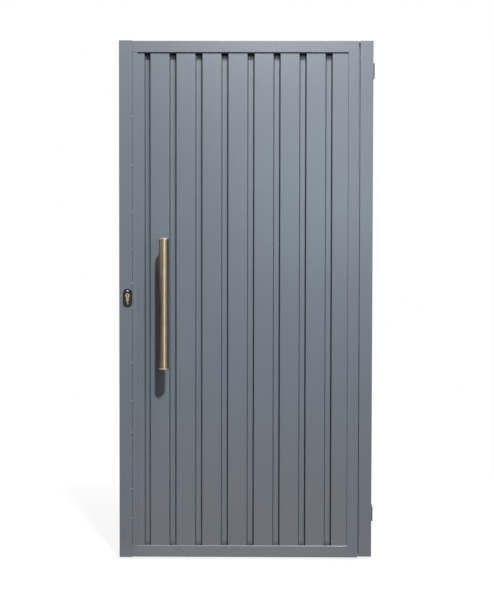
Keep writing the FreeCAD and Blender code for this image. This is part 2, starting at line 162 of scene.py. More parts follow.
def make_edge_wear():
    """A lighter, thinner coat where the surface turns sharply."""
    group, given, result = new_group(
        "edge wear",
        [
            ("Colour", "NodeSocketColor", (0.2, 0.22, 0.25, 1)),
            ("Worn Colour", "NodeSocketColor", (0.4, 0.42, 0.44, 1)),
            ("Width", "NodeSocketFloat", 0.002),
            ("Amount", "NodeSocketFloat", 0.4),
        ],
        [("Colour", "NodeSocketColor")],
    )
    rounded = group.nodes.new("ShaderNodeBevel")
    rounded.samples = 4
    group.links.new(given.outputs["Width"], rounded.inputs["Radius"])
    flat = group.nodes.new("ShaderNodeNewGeometry")
    along = group.nodes.new("ShaderNodeVectorMath")
    along.operation = "DOT_PRODUCT"
    group.links.new(rounded.outputs[0], along.inputs[0])
    group.links.new(flat.outputs["Normal"], along.inputs[1])
    edge = add_range(group, along.outputs["Value"], over=(0.99, 0.78), gives=(0.0, 1.0))
    place = group.nodes.new("ShaderNodeTexCoord").outputs["Object"]
    broken = add_noise(group, place, scale=45.0, detail=4.0)
    spots = add_range(group, broken, over=(0.45, 0.7), gives=(0.15, 1.0))
    worn = add_math(group, "MULTIPLY", edge, spots)
    mask = add_math(group, "MULTIPLY", worn, given.outputs["Amount"])
    mixed = add_mix(group, mask, given.outputs["Colour"], given.outputs["Worn Colour"])
    group.links.new(mixed, result.inputs["Colour"])
    return group


def make_settled_dust():
    """Pale dust that thickens towards the foot of the leaf and on faces that look up."""
    group, given, result = new_group(
        "settled dust",
        [
            ("Colour", "NodeSocketColor", (0.2, 0.22, 0.25, 1)),
            ("Dust Colour", "NodeSocketColor", (0.3, 0.28, 0.25, 1)),
            ("Foot", "NodeSocketFloat", leaf_foot),
            ("Reach", "NodeSocketFloat", 0.6),
            ("Patchiness", "NodeSocketFloat", 0.5),
            ("Amount", "NodeSocketFloat", 0.25),
        ],
        [("Colour", "NodeSocketColor"), ("Mask", "NodeSocketFloat")],
    )
    place = group.nodes.new("ShaderNodeTexCoord").outputs["Object"]
    split = add_split(group, place)
    above = add_math(group, "SUBTRACT", split.outputs["Z"], given.outputs["Foot"])
    share = add_math(group, "DIVIDE", above, given.outputs["Reach"])
    low = add_range(group, share, over=(0.0, 1.0), gives=(1.0, 0.0))
    flat = group.nodes.new("ShaderNodeNewGeometry")
    facing = add_split(group, flat.outputs["Normal"])
    upward = add_range(group, facing.outputs["Z"], over=(0.4, 1.0), gives=(0.0, 1.2))
    both = add_math(group, "ADD", low, upward)
    patchy = add_noise(group, place, scale=11.0, detail=5.0)
    thinnest = add_math(group, "SUBTRACT", 1.0, given.outputs["Patchiness"])
    soft = add_range(group, patchy, over=(0.35, 0.7), gives=(thinnest, 1.0))
    amount = add_math(group, "MULTIPLY", both, soft)
    mask = add_math(group, "MULTIPLY", amount, given.outputs["Amount"], clamp=True)
    mixed = add_mix(group, mask, given.outputs["Colour"], given.outputs["Dust Colour"])
    group.links.new(mixed, result.inputs["Colour"])
    group.links.new(mask, result.inputs["Mask"])
    return group


powder_coat = make_powder_coat()
edge_wear = make_edge_wear()
settled_dust = make_settled_dust()


def place_group(tree, group, **values):
    """A group in a material, with its own values."""
    node = tree.nodes.new("ShaderNodeGroup")
    node.node_tree = group
    for socket, value in values.items():
        node.inputs[socket.replace("_", " ")].default_value = value
    return node


def add_bump(tree, height, strength, distance):
    """A bump from a height, into the material's shader."""
    bump = tree.nodes.new("ShaderNodeBump")
    bump.inputs["Strength"].default_value = strength
    bump.inputs["Distance"].default_value = distance
    tree.links.new(height, bump.inputs["Height"])
    tree.links.new(bump.outputs[0], tree.nodes["Principled BSDF"].inputs["Normal"])


paint_shine = 0.14
dust_dulling = 0.4


def painted_steel(
    name, colour, worn, gloss, shade_change, dust, dust_colour=(0.248, 0.206, 0.22, 1), patchiness=0.5
):
    """Powder-coated steel with thin edges and a film of dust."""
    material = bpy.data.materials.new(name)
    material.use_nodes = True
    tree = material.node_tree
    shader = tree.nodes["Principled BSDF"]
    shader.inputs["Specular IOR Level"].default_value = paint_shine
    coat = place_group(tree, powder_coat, Colour=colour, Shade_Change=shade_change, Gloss=gloss)
    wear = place_group(tree, edge_wear, Worn_Colour=worn, Width=0.0016, Amount=0.35)
    dusty = place_group(
        tree, settled_dust, Dust_Colour=dust_colour, Patchiness=patchiness, Amount=dust
    )
    tree.links.new(coat.outputs["Colour"], wear.inputs["Colour"])
    tree.links.new(wear.outputs["Colour"], dusty.inputs["Colour"])
    tree.links.new(dusty.outputs["Colour"], shader.inputs["Base Color"])
    veil = add_math(tree, "MULTIPLY", dusty.outputs["Mask"], dust_dulling)
    rough = add_math(tree, "ADD", coat.outputs["Roughness"], veil)
    tree.links.new(rough, shader.inputs["Roughness"])
    add_bump(tree, coat.outputs["Height"], strength=0.12, distance=0.0004)
    return material


def finish_nodes(material, *names):
    """Give the carried-over pieces their finish."""
    for name in names:
        mesh = nodes[name].data
        mesh.materials.clear()
        mesh.materials.append(material)


def lay_over(material, group, **values):
    """One more layer over a material's colour."""
    tree = material.node_tree
    shader = tree.nodes["Principled BSDF"]
    below = shader.inputs["Base Color"].links[0].from_socket
    layer = place_group(tree, group, **values)
    tree.links.new(below, layer.inputs["Colour"])
    tree.links.new(layer.outputs["Colour"], shader.inputs["Base Color"])


splash_colour = (0.395, 0.358, 0.338, 1)
leaf_finish = {
    "colour": (0.185, 0.206, 0.236, 1),
    "worn": (0.33, 0.36, 0.39, 1),
    "gloss": 0.42,
    "shade_change": 0.035,
}
leaf_paint = painted_steel("leaf paint", dust=0.4, **leaf_finish)
finish_nodes(leaf_paint, "hinge_tube", "top_rail", "lock_side_stile")
lock_tube_paint = painted_steel("lock tube paint", dust=0.4, **leaf_finish)
lay_over(
    lock_tube_paint, settled_dust, Dust_Colour=splash_colour, Reach=0.07, Patchiness=0.2, Amount=0.2
)
finish_nodes(lock_tube_paint, "lock_tube")
stile_paint = painted_steel("stile paint", dust=0.4, dust_colour=(0.268, 0.226, 0.264, 1), **leaf_finish)
finish_nodes(stile_paint, "hinge_side_stile")

# Groove strip: flat steel set back between the hinge-side stile and the hinge tube and welded to
# both. Its coat is painted paler than the leaf's, as painted light that lifts the shade in the groove.

strip_lightened_paint = painted_steel(
    "strip paint lightened against shade", colour=(0.27, 0.3, 0.335, 1), worn=(0.36, 0.39, 0.42, 1),
    gloss=0.45, shade_change=0.03, dust=0.0,
)
finish_nodes(strip_lightened_paint, "hinge_side_spacer_strip")

# Bottom rail: the same tube as the top rail. Its top, inside the channels behind the front edge, is
# painted dark as shade, and its front edge is painted pale as a highlight, more so towards the
# hinges. The front is splashed with dust that rain rinses off again near both ends.


def make_ledge_shade_highlight_and_rinse():
    """Painted shade on the ledge behind a given depth, a painted highlight on the edge before it, rinsed
    paint at both ends.
    """
    group, given, result = new_group(
        "ledge painted shade, highlight and rinse",
        [
            ("Colour", "NodeSocketColor", (0.2, 0.22, 0.25, 1)),
            ("Painted Shade Colour", "NodeSocketColor", (0.035, 0.035, 0.035, 1)),
            ("Edge Highlight Colour", "NodeSocketColor", (0.74, 0.72, 0.69, 1)),
            ("Rinsed Colour", "NodeSocketColor", (0.208, 0.211, 0.242, 1)),
            ("Front", "NodeSocketFloat", 0.0),
            ("Lock End", "NodeSocketFloat", 0.0),
            ("Width", "NodeSocketFloat", 1.0),
            ("Amount", "NodeSocketFloat", 0.9),
        ],
        [("Colour", "NodeSocketColor")],
    )
    place = group.nodes.new("ShaderNodeTexCoord").outputs["Object"]
    split = add_split(group, place)
    behind = add_math(group, "SUBTRACT", split.outputs["Y"], given.outputs["Front"])
    # painted shade on the ledge behind the front edge, inside the channels
    sheltered = add_range(group, behind, over=(0.0032, 0.0045), gives=(0.0, 1.0))
    facing = add_split(group, group.nodes.new("ShaderNodeNewGeometry").outputs["Normal"])
    upward = add_range(group, facing.outputs["Z"], over=(0.5, 0.9), gives=(0.0, 1.0))
    patchy = add_noise(group, place, scale=60.0, detail=4.0)
    soft = add_range(group, patchy, over=(0.3, 0.6), gives=(0.7, 1.0))
    ledge = add_math(group, "MULTIPLY", sheltered, upward)
    amount = add_math(group, "MULTIPLY", ledge, soft)
    mask = add_math(group, "MULTIPLY", amount, given.outputs["Amount"])
    across = add_math(group, "DIVIDE", split.outputs["X"], given.outputs["Width"])
    # painted highlight along the front edge, stronger towards the hinges
    highlight_share = add_range(group, across, over=(-0.85, -0.1), gives=(0.0, 0.95))
    open_edge = add_math(group, "SUBTRACT", 1.0, sheltered)
    edge = add_math(group, "MULTIPLY", open_edge, upward)
    pale = add_math(group, "MULTIPLY", edge, highlight_share)
    at_hinges = add_range(group, across, over=(-0.35, -0.1), gives=(0.0, 0.65))
    from_lock = add_math(group, "SUBTRACT", split.outputs["X"], given.outputs["Lock End"])
    at_lock = add_range(group, from_lock, over=(0.01, 0.06), gives=(0.45, 0.0))
    rinsed = add_math(group, "MAXIMUM", at_hinges, at_lock)
    front = add_mix(group, rinsed, given.outputs["Colour"], given.outputs["Rinsed Colour"])
    edged = add_mix(group, pale, front, given.outputs["Edge Highlight Colour"])
    mixed = add_mix(group, mask, edged, given.outputs["Painted Shade Colour"])
    group.links.new(mixed, result.inputs["Colour"])
    return group


rail_paint = painted_steel(
    "rail paint", dust=0.33, dust_colour=splash_colour, patchiness=0.15, **leaf_finish
)
rail_low, rail_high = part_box("bottom_rail")
rail_width = rail_high.x - rail_low.x
lay_over(rail_paint, make_ledge_shade_highlight_and_rinse(), Front=rail_low.y, Lock_End=rail_low.x, Width=rail_width)
finish_nodes(rail_paint, "bottom_rail")

# Stitch welds on the front of the seam between the lock tube and its stile: small beads laid by
# hand and painted over with the leaf. Their paint is lighter than the leaf's, as a painted highlight on
# their round tops.

stitch_heights = (1.534, 1.347, 1.17, 1.025, 0.894, 0.798, 0.587, 0.438, 0.317, 0.097, -0.016)
ripple_pitch = 0.0022
bead_radius = 0.0024
start_girth = 0.45
rounded_start = [(0.12, 0.7), (0.25, 0.9)]
one_ripple = [(0.4, 1.0), (0.35, 0.99), (0.25, 0.94)]
rounded_end = [(0.3, 0.8), (0.2, 0.6), (0.08, 0.35)]


def lay_bead(name, ripples):
    """A weld bead along X, its ripples extruded one after the other from a small disc."""
    bpy.ops.object.select_all(action="DESELECT")
    bpy.ops.mesh.primitive_circle_add(
        vertices=16, radius=bead_radius * start_girth, fill_type="NGON", rotation=(0, math.pi / 2, 0)
    )
    bpy.ops.object.transform_apply(location=False, rotation=True, scale=False)
    bead = bpy.context.object
    bead.name = name
    bpy.ops.object.mode_set(mode="EDIT")
    bpy.ops.mesh.select_all(action="SELECT")
    reached = 0.0
    girth = start_girth
    for share, wanted in rounded_start + ripples * one_ripple + rounded_end:
        advance = share * ripple_pitch
        bpy.ops.mesh.extrude_region_move(TRANSFORM_OT_translate={"value": (advance, 0, 0)})
        reached += advance
        swell = wanted / girth
        bpy.ops.transform.resize(value=(1, swell, swell), center_override=(reached, 0, 0))
        girth = wanted
    bpy.ops.mesh.select_all(action="SELECT")
    bpy.ops.mesh.normals_make_consistent(inside=False)
    bpy.ops.transform.translate(value=(-reached / 2, 0, 0))
    bpy.ops.object.mode_set(mode="OBJECT")
    bpy.ops.object.shade_smooth_by_angle(angle=math.radians(60))
    return bead


def copy_to(pattern, name, place):
    """A copy of a piece with its own mesh, put in its place."""
    mesh = pattern.data.copy()
    mesh.transform(place)
    piece = bpy.data.objects.new(name, mesh)
    bpy.context.scene.collection.objects.link(piece)
    return piece


def join_copies(name, pieces):
    """Copies that belong together as one piece."""
    bpy.ops.object.select_all(action="DESELECT")
    for piece in pieces:
        piece.select_set(True)
    bpy.context.view_layer.objects.active = pieces[0]
    bpy.ops.object.join()
    pieces[0].name = name
    return pieces[0]


def finish_piece(piece, material, body):
    """Finish of a new piece and the body that it rides on."""
    piece.data.materials.clear()
    piece.data.materials.append(material)
    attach(piece, body)


lock_tube_low, lock_tube_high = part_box("lock_tube")
lock_stile_low, lock_stile_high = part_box("lock_side_stile")
seam_x = (lock_tube_high.x + lock_stile_low.x) / 2
leaf_front = lock_tube_low.y
short_bead = lay_bead("short_bead", 2)
stand_up = Matrix.Rotation(math.pi / 2, 4, "Y")
flatten = Matrix.Diagonal((0.95, 0.7, 1.6, 1.0))
stitch_sunk = 0.0005
stitches = []
for height in stitch_heights:
    on_seam = Matrix.Translation((seam_x, leaf_front + stitch_sunk, height))
    stitches.append(copy_to(short_bead, "seam_stitch", on_seam @ stand_up @ flatten))
# lighter paint: painted highlight on the bead tops
stitch_highlight_paint = painted_steel(
    "stitch paint with painted highlight", colour=(0.28, 0.3, 0.33, 1), worn=(0.33, 0.35, 0.37, 1),
    gloss=0.38, shade_change=0.03, dust=0.1,
)
finish_piece(join_copies("lock_seam_stitches", stitches), stitch_highlight_paint, "door_leaf")

# Welds behind the leaf: fillet beads in the corner between each rail and the lock tube, stitches
# down both stiles and at the ends of the bars behind the sheet. All are left as laid and painted.

stile_back = lock_stile_high.y
frame_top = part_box("top_rail")[1].z
opening_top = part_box("top_rail")[0].z
opening_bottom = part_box("bottom_rail")[1].z
long_bead = lay_bead("long_bead", 14)
corner_welds = []
for height in ((frame_top + opening_top) / 2, (leaf_foot + opening_bottom) / 2):
    corner = Matrix.Translation((lock_tube_high.x, stile_back, height))
    corner_welds.append(copy_to(long_bead, "corner_weld", corner @ stand_up))
hinge_tube_low, hinge_tube_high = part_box("hinge_tube")
strip_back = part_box("hinge_side_spacer_strip")[1].y
stile_weld_count = 7
for step in range(stile_weld_count):
    share = (step + 0.5) / stile_weld_count
    height = opening_bottom + share * (opening_top - opening_bottom)
    at_lock = Matrix.Translation((lock_tube_high.x, stile_back, height))
    at_strip = Matrix.Translation((hinge_tube_low.x, strip_back, height))
    corner_welds.append(copy_to(long_bead, "stile_weld", at_lock @ stand_up))
    corner_welds.append(copy_to(short_bead, "strip_weld", at_strip @ stand_up))
for name in ("top_sheet_stop", "bottom_sheet_stop"):
    stop_low, stop_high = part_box(name)
    for end_x in (stop_low.x, stop_high.x):
        at_stop = Matrix.Translation((end_x, stop_high.y, (stop_low.z + stop_high.z) / 2))
        corner_welds.append(copy_to(short_bead, "stop_weld", at_stop @ stand_up))
finish_piece(join_copies("back_welds", corner_welds), leaf_paint, "door_leaf")

# Mitre seams at the hinge-side corners: welded, ground nearly flush and painted, so only a thin
# flat ridge is left on the front and the back of each corner.

stile_low, stile_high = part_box("hinge_side_stile")
stile_width = stile_high.x - stile_low.x
rail_height = frame_top - opening_top
mitre_end_gap = 0.006
mitre_length = math.hypot(stile_width, rail_height) - mitre_end_gap
mitre_tilt = math.atan2(rail_height, stile_width)
ridge_width = 0.0022
ridge_thickness = 0.0007
ridge_rounding = ridge_thickness * 0.45
ridge_sunk = 0.0002
bpy.ops.object.select_all(action="DESELECT")
bpy.ops.mesh.primitive_cube_add(size=1.0)
ridge = bpy.context.object
ridge.name = "mitre_ridge"
bpy.ops.object.mode_set(mode="EDIT")
bpy.ops.mesh.select_all(action="SELECT")
bpy.ops.transform.resize(value=(mitre_length, ridge_thickness, ridge_width), center_override=(0, 0, 0))
bpy.ops.mesh.bevel(offset=ridge_rounding, segments=3, affect="EDGES")
bpy.ops.object.mode_set(mode="OBJECT")
bpy.ops.object.shade_smooth_by_angle(angle=math.radians(50))
middle_x = (stile_low.x + stile_high.x) / 2
ridges = []
for sign, middle_z in ((1, (frame_top + opening_top) / 2), (-1, (leaf_foot + opening_bottom) / 2)):
    lean = Matrix.Rotation(-sign * mitre_tilt, 4, "Y")
    for face_y in (leaf_front + ridge_sunk, stile_back - ridge_sunk):
        ridges.append(copy_to(ridge, "mitre_seam", Matrix.Translation((middle_x, face_y, middle_z)) @ lean))
finish_piece(join_copies("mitre_seams", ridges), leaf_paint, "door_leaf")
bpy.data.objects.remove(ridge)

# Profiled panel: one millimetre steel sheet, rolled into wide crests and narrow channels, its side
# edges folded back. It is painted with the leaf, with painted shade on the channels' steep sides and feet.

sheet_low, sheet_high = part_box("profiled_sheet")


def make_channel_painted_shade():
    """Painted shade on the steep sides of the channels, most on those facing away from the front lamp and
    higher up, and at their feet.
    """
    group, given, result = new_group(
        "channel painted shade",
        [
            ("Colour", "NodeSocketColor", (0.2, 0.22, 0.25, 1)),
            ("Painted Shade Colour", "NodeSocketColor", (0.034, 0.038, 0.043, 1)),
            ("Crest", "NodeSocketFloat", sheet_low.y),
            ("Floor", "NodeSocketFloat", sheet_high.y),
            ("Foot", "NodeSocketFloat", opening_bottom),
            ("Amount", "NodeSocketFloat", 0.4),
        ],
        [("Colour", "NodeSocketColor")],
    )
    place = group.nodes.new("ShaderNodeTexCoord").outputs["Object"]
    split = add_split(group, place)
    behind = add_math(group, "SUBTRACT", split.outputs["Y"], given.outputs["Crest"])
    ahead = add_math(group, "SUBTRACT", given.outputs["Floor"], split.outputs["Y"])
    below_crest = add_range(group, behind, over=(0.0006, 0.0026), gives=(0.0, 1.0))
    above_floor = add_range(group, ahead, over=(0.0012, 0.0026), gives=(0.0, 1.0))
    steep = add_math(group, "MULTIPLY", below_crest, above_floor)
    facing = add_split(group, group.nodes.new("ShaderNodeTexCoord").outputs["Normal"])
    # painted shade: strongest on sides that face away from the front lamp
    lee = add_range(group, facing.outputs["X"], over=(-0.4, 0.4), gives=(1.0, 0.62))
    side = add_math(group, "MULTIPLY", steep, lee)
    # painted shade grows towards the top, where the lamps are brighter
    rinsed = add_range(group, split.outputs["Z"], over=(opening_bottom, opening_top), gives=(0.8, 1.0))
    shaded_sides = add_math(group, "MULTIPLY", side, rinsed)
    patchy = add_noise(group, place, scale=9.0, detail=4.0)
    soft = add_range(group, patchy, over=(0.3, 0.7), gives=(0.8, 1.0))
    # painted shade at the feet of the channels
    deep = add_range(group, behind, over=(0.003, 0.008), gives=(0.0, 1.0))
    above_foot = add_math(group, "SUBTRACT", split.outputs["Z"], given.outputs["Foot"])
    low_down = add_range(group, above_foot, over=(0.004, 0.016), gives=(0.4, 0.0))
    shaded_feet = add_math(group, "MULTIPLY", deep, low_down)
    painted_dark = add_math(group, "MAXIMUM", shaded_sides, shaded_feet)
    amount = add_math(group, "MULTIPLY", painted_dark, soft)
    mask = add_math(group, "MULTIPLY", amount, given.outputs["Amount"])
    mixed = add_mix(group, mask, given.outputs["Colour"], given.outputs["Painted Shade Colour"])
    group.links.new(mixed, result.inputs["Colour"])
    return group


sheet_paint = painted_steel(
    "sheet paint", colour=(0.183, 0.207, 0.238, 1), worn=(0.3, 0.33, 0.36, 1),
    gloss=0.4, shade_change=0.03, dust=0.45, dust_colour=(0.28, 0.228, 0.232, 1),
)
# painted shade on the channel sides and feet
lay_over(sheet_paint, make_channel_painted_shade(), Amount=1.0)
finish_nodes(sheet_paint, "profiled_sheet")

# Filled joint: on the lock side the seam between the stile and the sheet is closed with a bead of
# joint filler, drawn smooth and painted over. Its paint is a little darker than the leaf's, as painted
# shade along the joint.

filler_width = 0.0022
filler_depth = 0.0026
filler_proud = 0.0018
filler_shift = filler_width * 0.4


def pick_edges(piece, wanted):
    """Go into edit mode with only those edges selected whose ends pass the test."""
    bpy.ops.object.mode_set(mode="EDIT")
    bpy.ops.mesh.select_mode(type="EDGE")
    bpy.ops.mesh.select_all(action="DESELECT")
    bpy.ops.object.mode_set(mode="OBJECT")
    for edge in piece.data.edges:
        edge.select = all(wanted(piece.data.vertices[end].co) for end in edge.vertices)
    bpy.ops.object.mode_set(mode="EDIT")


bpy.ops.object.select_all(action="DESELECT")
bpy.ops.mesh.primitive_cube_add(size=1.0)
filler = bpy.context.object
filler.name = "lock_joint_filler"
bpy.ops.object.mode_set(mode="EDIT")
bpy.ops.mesh.select_all(action="SELECT")
filler_size = (filler_width, filler_depth, opening_top - opening_bottom)
bpy.ops.transform.resize(value=filler_size, center_override=(0, 0, 0))
pick_edges(filler, lambda end: end.x > 0 and end.y < 0)
bpy.ops.mesh.bevel(offset=filler_proud, segments=4, affect="EDGES")
bpy.ops.mesh.select_all(action="SELECT")
filler_place = (
    lock_stile_high.x + filler_shift,
    sheet_low.y - filler_proud + filler_depth / 2,
    (opening_top + opening_bottom) / 2,
)
bpy.ops.transform.translate(value=filler_place)
bpy.ops.object.mode_set(mode="OBJECT")
bpy.ops.object.shade_smooth_by_angle(angle=math.radians(50))
# darker paint: painted shade along the joint
filler_shade_paint = painted_steel(
    "filler paint with painted shade", colour=(0.148, 0.165, 0.19, 1), worn=(0.155, 0.172, 0.197, 1),
    gloss=0.5, shade_change=0.03, dust=0.1,
)
finish_piece(filler, filler_shade_paint, "door_leaf")

# Bars behind the sheet: flat steel that closes the channel ends and carries the channel floors.
# They are coloured a matt near black, as painted shade, so the gaps at the channel ends look dark.

stop_shade_black = painted_steel(
    "stop black for painted shade", colour=(0.012, 0.012, 0.012, 1), worn=(0.05, 0.05, 0.05, 1),
    gloss=0.65, shade_change=0.06, dust=0.08,
)
finish_nodes(stop_shade_black, "top_sheet_stop", "bottom_sheet_stop")

# Tube end caps: lids of grey moulded plastic, pushed into the ends of both edge tubes. Their thin rims
# lie on the cut ends, and they keep water out of the tubes.


def moulded_plastic(name, colour, roughness, shine, grain, dust):
    """Moulded plastic with a fine grain and dust."""
    material = bpy.data.materials.new(name)
    material.use_nodes = True
    tree = material.node_tree
    shader = tree.nodes["Principled BSDF"]
    shader.inputs["Specular IOR Level"].default_value = shine
    coat = place_group(tree, powder_coat, Colour=colour, Shade_Change=0.02, Gloss=roughness)
    dusty = place_group(tree, settled_dust, Dust_Colour=(0.27, 0.26, 0.24, 1), Amount=dust)
    tree.links.new(coat.outputs["Colour"], dusty.inputs["Colour"])
    tree.links.new(dusty.outputs["Colour"], shader.inputs["Base Color"])
    tree.links.new(coat.outputs["Roughness"], shader.inputs["Roughness"])
    add_bump(tree, coat.outputs["Height"], strength=grain, distance=0.0003)
    return material


cap_plastic = moulded_plastic(
    "cap plastic", colour=(0.19, 0.21, 0.235, 1),
    roughness=0.5, shine=0.3, grain=0.25, dust=0.3,
)
finish_nodes(
    cap_plastic,
    "lock_tube_top_cap", "lock_tube_bottom_cap", "hinge_tube_top_cap", "hinge_tube_bottom_cap",
)

# Pull handle: a thick tube with closed ends on two posts, ground round about so that its gloss
# draws out along the bar, and plated in a dull brass, with a painted dark reflection down one side
# and a painted highlight in front. The posts run through the sheet to zinc-plated washers and nuts.

handle_low, handle_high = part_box("handle_bar")


def make_brushed_grain():
    """Fine scratches along one direction."""
    group, given, result = new_group(
        "brushed grain",
        [
            ("Colour", "NodeSocketColor", (0.5, 0.42, 0.3, 1)),
            ("Stretch", "NodeSocketVector", (1.0, 1.0, 0.02)),
            ("Fineness", "NodeSocketFloat", 1500.0),
            ("Gloss", "NodeSocketFloat", 0.3),
            ("Contrast", "NodeSocketFloat", 0.12),
        ],
        [("Colour", "NodeSocketColor"), ("Roughness", "NodeSocketFloat"), ("Height", "NodeSocketFloat")],
    )
    place = group.nodes.new("ShaderNodeTexCoord").outputs["Object"]
    stretched = group.nodes.new("ShaderNodeVectorMath")
    stretched.operation = "MULTIPLY"
    group.links.new(place, stretched.inputs[0])
    group.links.new(given.outputs["Stretch"], stretched.inputs[1])
    scratches = add_noise(group, stretched.outputs[0], scale=given.outputs["Fineness"], detail=3.0)
    smears = add_noise(group, place, scale=24.0, detail=3.0)
    swing = add_range(group, scratches, over=(0.3, 0.7), gives=(-1.0, 1.0))
    part = add_math(group, "MULTIPLY", swing, given.outputs["Contrast"])
    shade = add_math(group, "ADD", part, 1.0)
    tint = group.nodes.new("ShaderNodeHueSaturation")
    group.links.new(given.outputs["Colour"], tint.inputs["Color"])
    group.links.new(shade, tint.inputs["Value"])
    dull = add_range(group, scratches, over=(0.3, 0.7), gives=(-0.04, 0.06))
    smeared = add_range(group, smears, over=(0.35, 0.7), gives=(-0.03, 0.05))
    both = add_math(group, "ADD", dull, smeared)
    gloss = add_math(group, "ADD", given.outputs["Gloss"], both)
    group.links.new(tint.outputs[0], result.inputs["Colour"])
    group.links.new(gloss, result.inputs["Roughness"])
    group.links.new(scratches, result.inputs["Height"])
    return group


brushed_grain = make_brushed_grain()


def brushed_metal(name, colour, stretch, fineness, gloss, depth, contrast):
    """Bare or plated metal with a brushed surface."""
    material = bpy.data.materials.new(name)
    material.use_nodes = True
    tree = material.node_tree
    shader = tree.nodes["Principled BSDF"]
    shader.inputs["Metallic"].default_value = 1.0
    grain = place_group(
        tree, brushed_grain,
        Colour=colour, Stretch=stretch, Fineness=fineness, Gloss=gloss, Contrast=contrast,
    )
    tree.links.new(grain.outputs["Colour"], shader.inputs["Base Color"])
    tree.links.new(grain.outputs["Roughness"], shader.inputs["Roughness"])
    add_bump(tree, grain.outputs["Height"], strength=depth, distance=0.0002)
    return material


def make_handle_painted_reflection():
    """A painted dark reflection down the left side of the bar, and a painted highlight on its front that is
    palest near the top.
    """
    group, given, result = new_group(
        "handle painted reflection",
        [
            ("Colour", "NodeSocketColor", (0.27, 0.21, 0.13, 1)),
            ("Dark Reflection Colour", "NodeSocketColor", (0.1, 0.079, 0.049, 1)),
            ("Front Highlight Colour", "NodeSocketColor", (0.29, 0.262, 0.212, 1)),
            ("Low", "NodeSocketFloat", handle_low.z),
            ("High", "NodeSocketFloat", handle_high.z),
        ],
        [("Colour", "NodeSocketColor")],
    )
    place = group.nodes.new("ShaderNodeTexCoord")
    facing = add_split(group, place.outputs["Normal"])
    split = add_split(group, place.outputs["Object"])
    above = add_math(group, "SUBTRACT", split.outputs["Z"], given.outputs["Low"])
    length = add_math(group, "SUBTRACT", given.outputs["High"], given.outputs["Low"])
    share = add_math(group, "DIVIDE", above, length)
    # painted highlight on the front of the bar
    start = add_range(group, facing.outputs["X"], over=(-0.2, -0.05), gives=(0.0, 1.0))
    end = add_range(group, facing.outputs["X"], over=(0.35, 0.6), gives=(1.0, 0.0))
    front = add_math(group, "MULTIPLY", start, end)
    upward = add_range(group, share, over=(0.6, 0.92), gives=(0.3, 1.0))
    highlight_share = add_math(group, "MULTIPLY", front, upward)
    # painted dark reflection down the left side
    left_side = add_range(group, facing.outputs["X"], over=(-0.48, -0.2), gives=(1.0, 0.0))
    below_top = add_range(group, share, over=(0.88, 0.5), gives=(0.0, 1.0))
    above_end = add_range(group, share, over=(0.0, 0.25), gives=(0.65, 1.0))
    along = add_math(group, "MULTIPLY", below_top, above_end)
    painted_dark = add_math(group, "MULTIPLY", left_side, along)
    patchy = add_noise(group, place.outputs["Object"], scale=30.0, detail=3.0)
    soft = add_range(group, patchy, over=(0.3, 0.7), gives=(0.85, 1.0))
    dark_reflection = add_math(group, "MULTIPLY", painted_dark, soft)
    pale = add_mix(group, highlight_share, given.outputs["Colour"], given.outputs["Front Highlight Colour"])
    mixed = add_mix(group, dark_reflection, pale, given.outputs["Dark Reflection Colour"])
    group.links.new(mixed, result.inputs["Colour"])
    return group


handle_metal = brushed_metal(
    "handle dull brass", colour=(0.272, 0.214, 0.135, 1), stretch=(0.04, 0.04, 1.0),
    fineness=1400.0, gloss=0.55, depth=0.06, contrast=0.12,
)
shader = handle_metal.node_tree.nodes["Principled BSDF"]
shader.inputs["Anisotropic"].default_value = 0.92
shader.inputs["Anisotropic Rotation"].default_value = 0.25
round_about = handle_metal.node_tree.nodes.new("ShaderNodeTangent")
round_about.direction_type = "RADIAL"
round_about.axis = "Z"
handle_metal.node_tree.links.new(round_about.outputs[0], shader.inputs["Tangent"])
lay_over(handle_metal, make_handle_painted_reflection())
finish_nodes(handle_metal, "handle_bar")
# The ends and posts take a paler brass, as a painted highlight on the bevelled ends.
handle_end_highlight_metal = brushed_metal(
    "handle end brass with painted highlight", colour=(0.55, 0.47, 0.34, 1), stretch=(1.0, 0.1, 1.0),
    fineness=3200.0, gloss=0.28, depth=0.04, contrast=0.05,
)
finish_nodes(
    handle_end_highlight_metal,
    "handle_bar_top_cap", "handle_bar_bottom_cap", "upper_handle_post", "lower_handle_post",
)
zinc_plate = brushed_metal(
    "zinc plate", colour=(0.5, 0.5, 0.49, 1), stretch=(1.0, 1.0, 1.0),
    fineness=260.0, gloss=0.38, depth=0.15, contrast=0.12,
)
finish_nodes(
    zinc_plate,
    "upper_handle_washer", "lower_handle_washer", "upper_handle_nut", "lower_handle_nut",
)

# Cylinder lock: a brass cylinder through the lock tube, a black cover plate on each side, and a
# zinc-plated edge plate with its square bolt drawn back.

cover_black = moulded_plastic(
    "cover black", colour=(0.009, 0.009, 0.01, 1),
    roughness=0.28, shine=0.35, grain=0.08, dust=0.0,
)
finish_nodes(cover_black, "front_escutcheon", "back_escutcheon")
cylinder_brass = brushed_metal(
    "cylinder brass", colour=(0.39, 0.3, 0.2, 1), stretch=(1.0, 1.0, 0.2),
    fineness=5200.0, gloss=0.3, depth=0.05, contrast=0.06,
)
finish_nodes(cylinder_brass, "cylinder_body")


